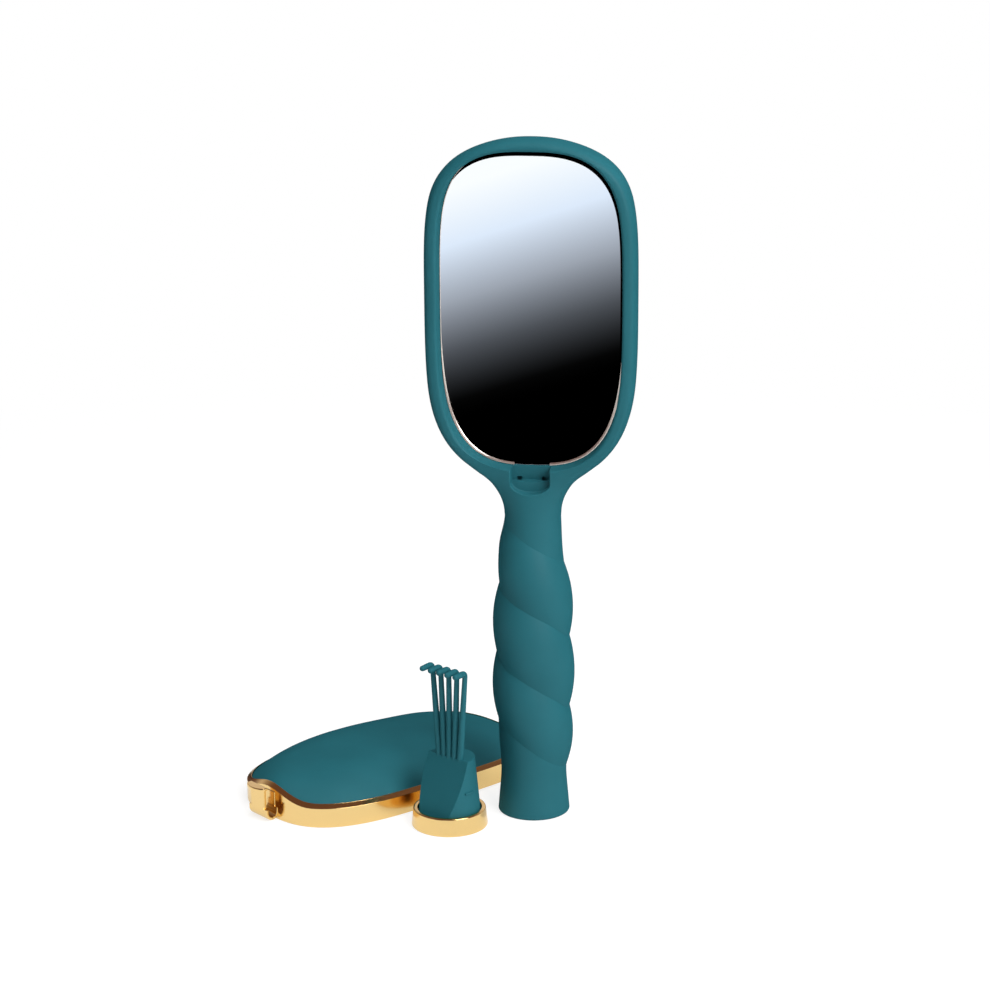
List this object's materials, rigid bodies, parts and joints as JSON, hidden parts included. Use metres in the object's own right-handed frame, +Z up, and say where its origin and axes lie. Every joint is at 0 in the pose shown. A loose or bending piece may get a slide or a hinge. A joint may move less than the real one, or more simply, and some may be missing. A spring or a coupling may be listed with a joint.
{
  "type": "styling brush with mirror, cover and cleaning rake",
  "caption": "Boar bristle styling brush with a recessed mirror, twisted hollow handle, lift-off domed mirror cover with spring latch, and a cleaning rake that plugs the handle.",
  "frame": {"origin": "on the table that the pieces stand on, under the middle of the whole group's box", "axes": "+Z up along the brush's handle from its open end to the head, -Y out of the mirror, +Y out of the bristles, +X to the right when looking at the mirror"},
  "size_m": [0.1444, 0.108, 0.248],
  "materials": {
    "soft_touch_shell": "satin teal soft-touch coating",
    "gold_plating": "polished pale gold plating on plastic",
    "mirror": "clear mirror glass",
    "foam_pad": "thin foam mounting pad",
    "cushion_rubber": "matt teal rubber air cushion",
    "bristles": "dark natural bristle"
  },
  "bodies": {
    "brush": {"handle_shell": "soft_touch_shell", "mirror_pad": "foam_pad", "mirror_glass": "mirror", "mirror_trim": "gold_plating", "bristle_cushion": "cushion_rubber", "cushion_ring": "soft_touch_shell", "bristle_field_1": "bristles", "bristle_field_2": "bristles", "bristle_field_3": "bristles", "bristle_field_4": "bristles"},
    "cover": {"cover_band": "gold_plating", "cover_dome": "soft_touch_shell"},
    "latch": {"latch_tongue": "gold_plating"},
    "cleaner": {"cleaner_cap": "gold_plating", "cleaner_rake": "soft_touch_shell"}
  },
  "joints": [
    {"name": "cover_lift", "type": "slide", "parent": "brush", "child": "cover", "axis": [0, 0, 1], "range_m": [0, 0.06]},
    {"name": "latch_press", "type": "hinge", "parent": "cover", "child": "latch", "pos_m": [-0.06176, -0.04174, 0.0009], "axis": [-0.7396, 0.673, 0], "range_deg": [0, 8], "stiffness_Nm_per_rad": 0.25},
    {"name": "cleaner_lift", "type": "slide", "parent": "brush", "child": "cleaner", "axis": [0, 0, 1], "range_m": [0, 0.04]}
  ]
}
